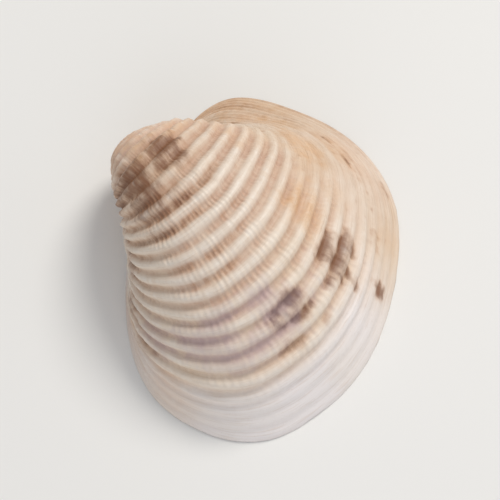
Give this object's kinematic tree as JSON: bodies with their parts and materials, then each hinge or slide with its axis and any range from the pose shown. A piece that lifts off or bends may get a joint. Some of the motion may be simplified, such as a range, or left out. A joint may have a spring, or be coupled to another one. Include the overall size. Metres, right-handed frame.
{
  "type": "sea shell",
  "caption": "One half-shell of a ribbed venus clam: a domed wall with raised concentric ridges, a curled beak, a toothed hinge plate inside and a flat rim to rest on.",
  "frame": {"origin": "under the middle of the bounding box, on the plane of the rim, which is the surface the shell rests on", "axes": "+X to the shell's front end along its length, +Y to the hinge and the beak, +Z out of the domed outside"},
  "size_m": [0.041, 0.0378, 0.0155],
  "materials": {
    "shell": "satin, natural calcium carbonate: cream with tan, brown and mauve flecks outside, peach and glossier inside"
  },
  "bodies": {
    "root": {"shell_valve": "shell"}
  },
  "joints": []
}
